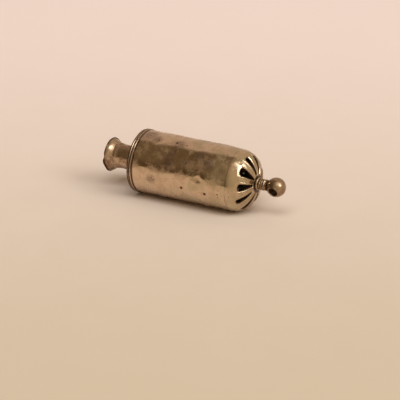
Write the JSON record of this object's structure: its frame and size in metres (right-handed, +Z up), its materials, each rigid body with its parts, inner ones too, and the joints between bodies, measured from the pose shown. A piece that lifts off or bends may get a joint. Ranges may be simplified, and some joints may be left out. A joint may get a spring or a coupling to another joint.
{
  "type": "needle case",
  "caption": "Small silver-plated needle case with a pull-off lid, trumpet-shaped knob, pierced dome and drilled hanging ball; the lid carries a wool roll with needles.",
  "frame": {"origin": "on the surface that the case lies on, under the middle of its length", "axes": "+X along the case from its lid to its hanging ball, +Z up, +Y across"},
  "size_m": [0.0626, 0.0204, 0.0204],
  "materials": {
    "silver_plate": "worn, lightly tarnished silver plate over brass",
    "tarnished_plate": "dull brown tarnish, inside the case",
    "needle_steel": "worn needle steel, dulled with age",
    "wool": "felted red-brown wool cloth",
    "thread": "undyed linen thread"
  },
  "bodies": {
    "case": {"barrel": "silver_plate", "mouth_ring": "silver_plate", "pierced_dome": "silver_plate", "finial_collar": "silver_plate", "finial": "silver_plate", "finial_rove": "tarnished_plate"},
    "lid": {"lid_plate": "silver_plate", "lid_ring": "silver_plate", "lid_collar": "tarnished_plate", "trumpet_knob": "silver_plate", "wool_core": "tarnished_plate", "core_washer": "tarnished_plate", "wool_roll": "wool", "binding_thread_1": "thread", "binding_thread_2": "thread", "needle_1": "needle_steel", "needle_2": "needle_steel", "needle_3": "needle_steel", "needle_4": "needle_steel", "needle_5": "needle_steel"}
  },
  "joints": [
    {"name": "lid_slide", "type": "slide", "parent": "case", "child": "lid", "axis": [-1, 0, 0], "range_m": [0, 0.042]}
  ]
}
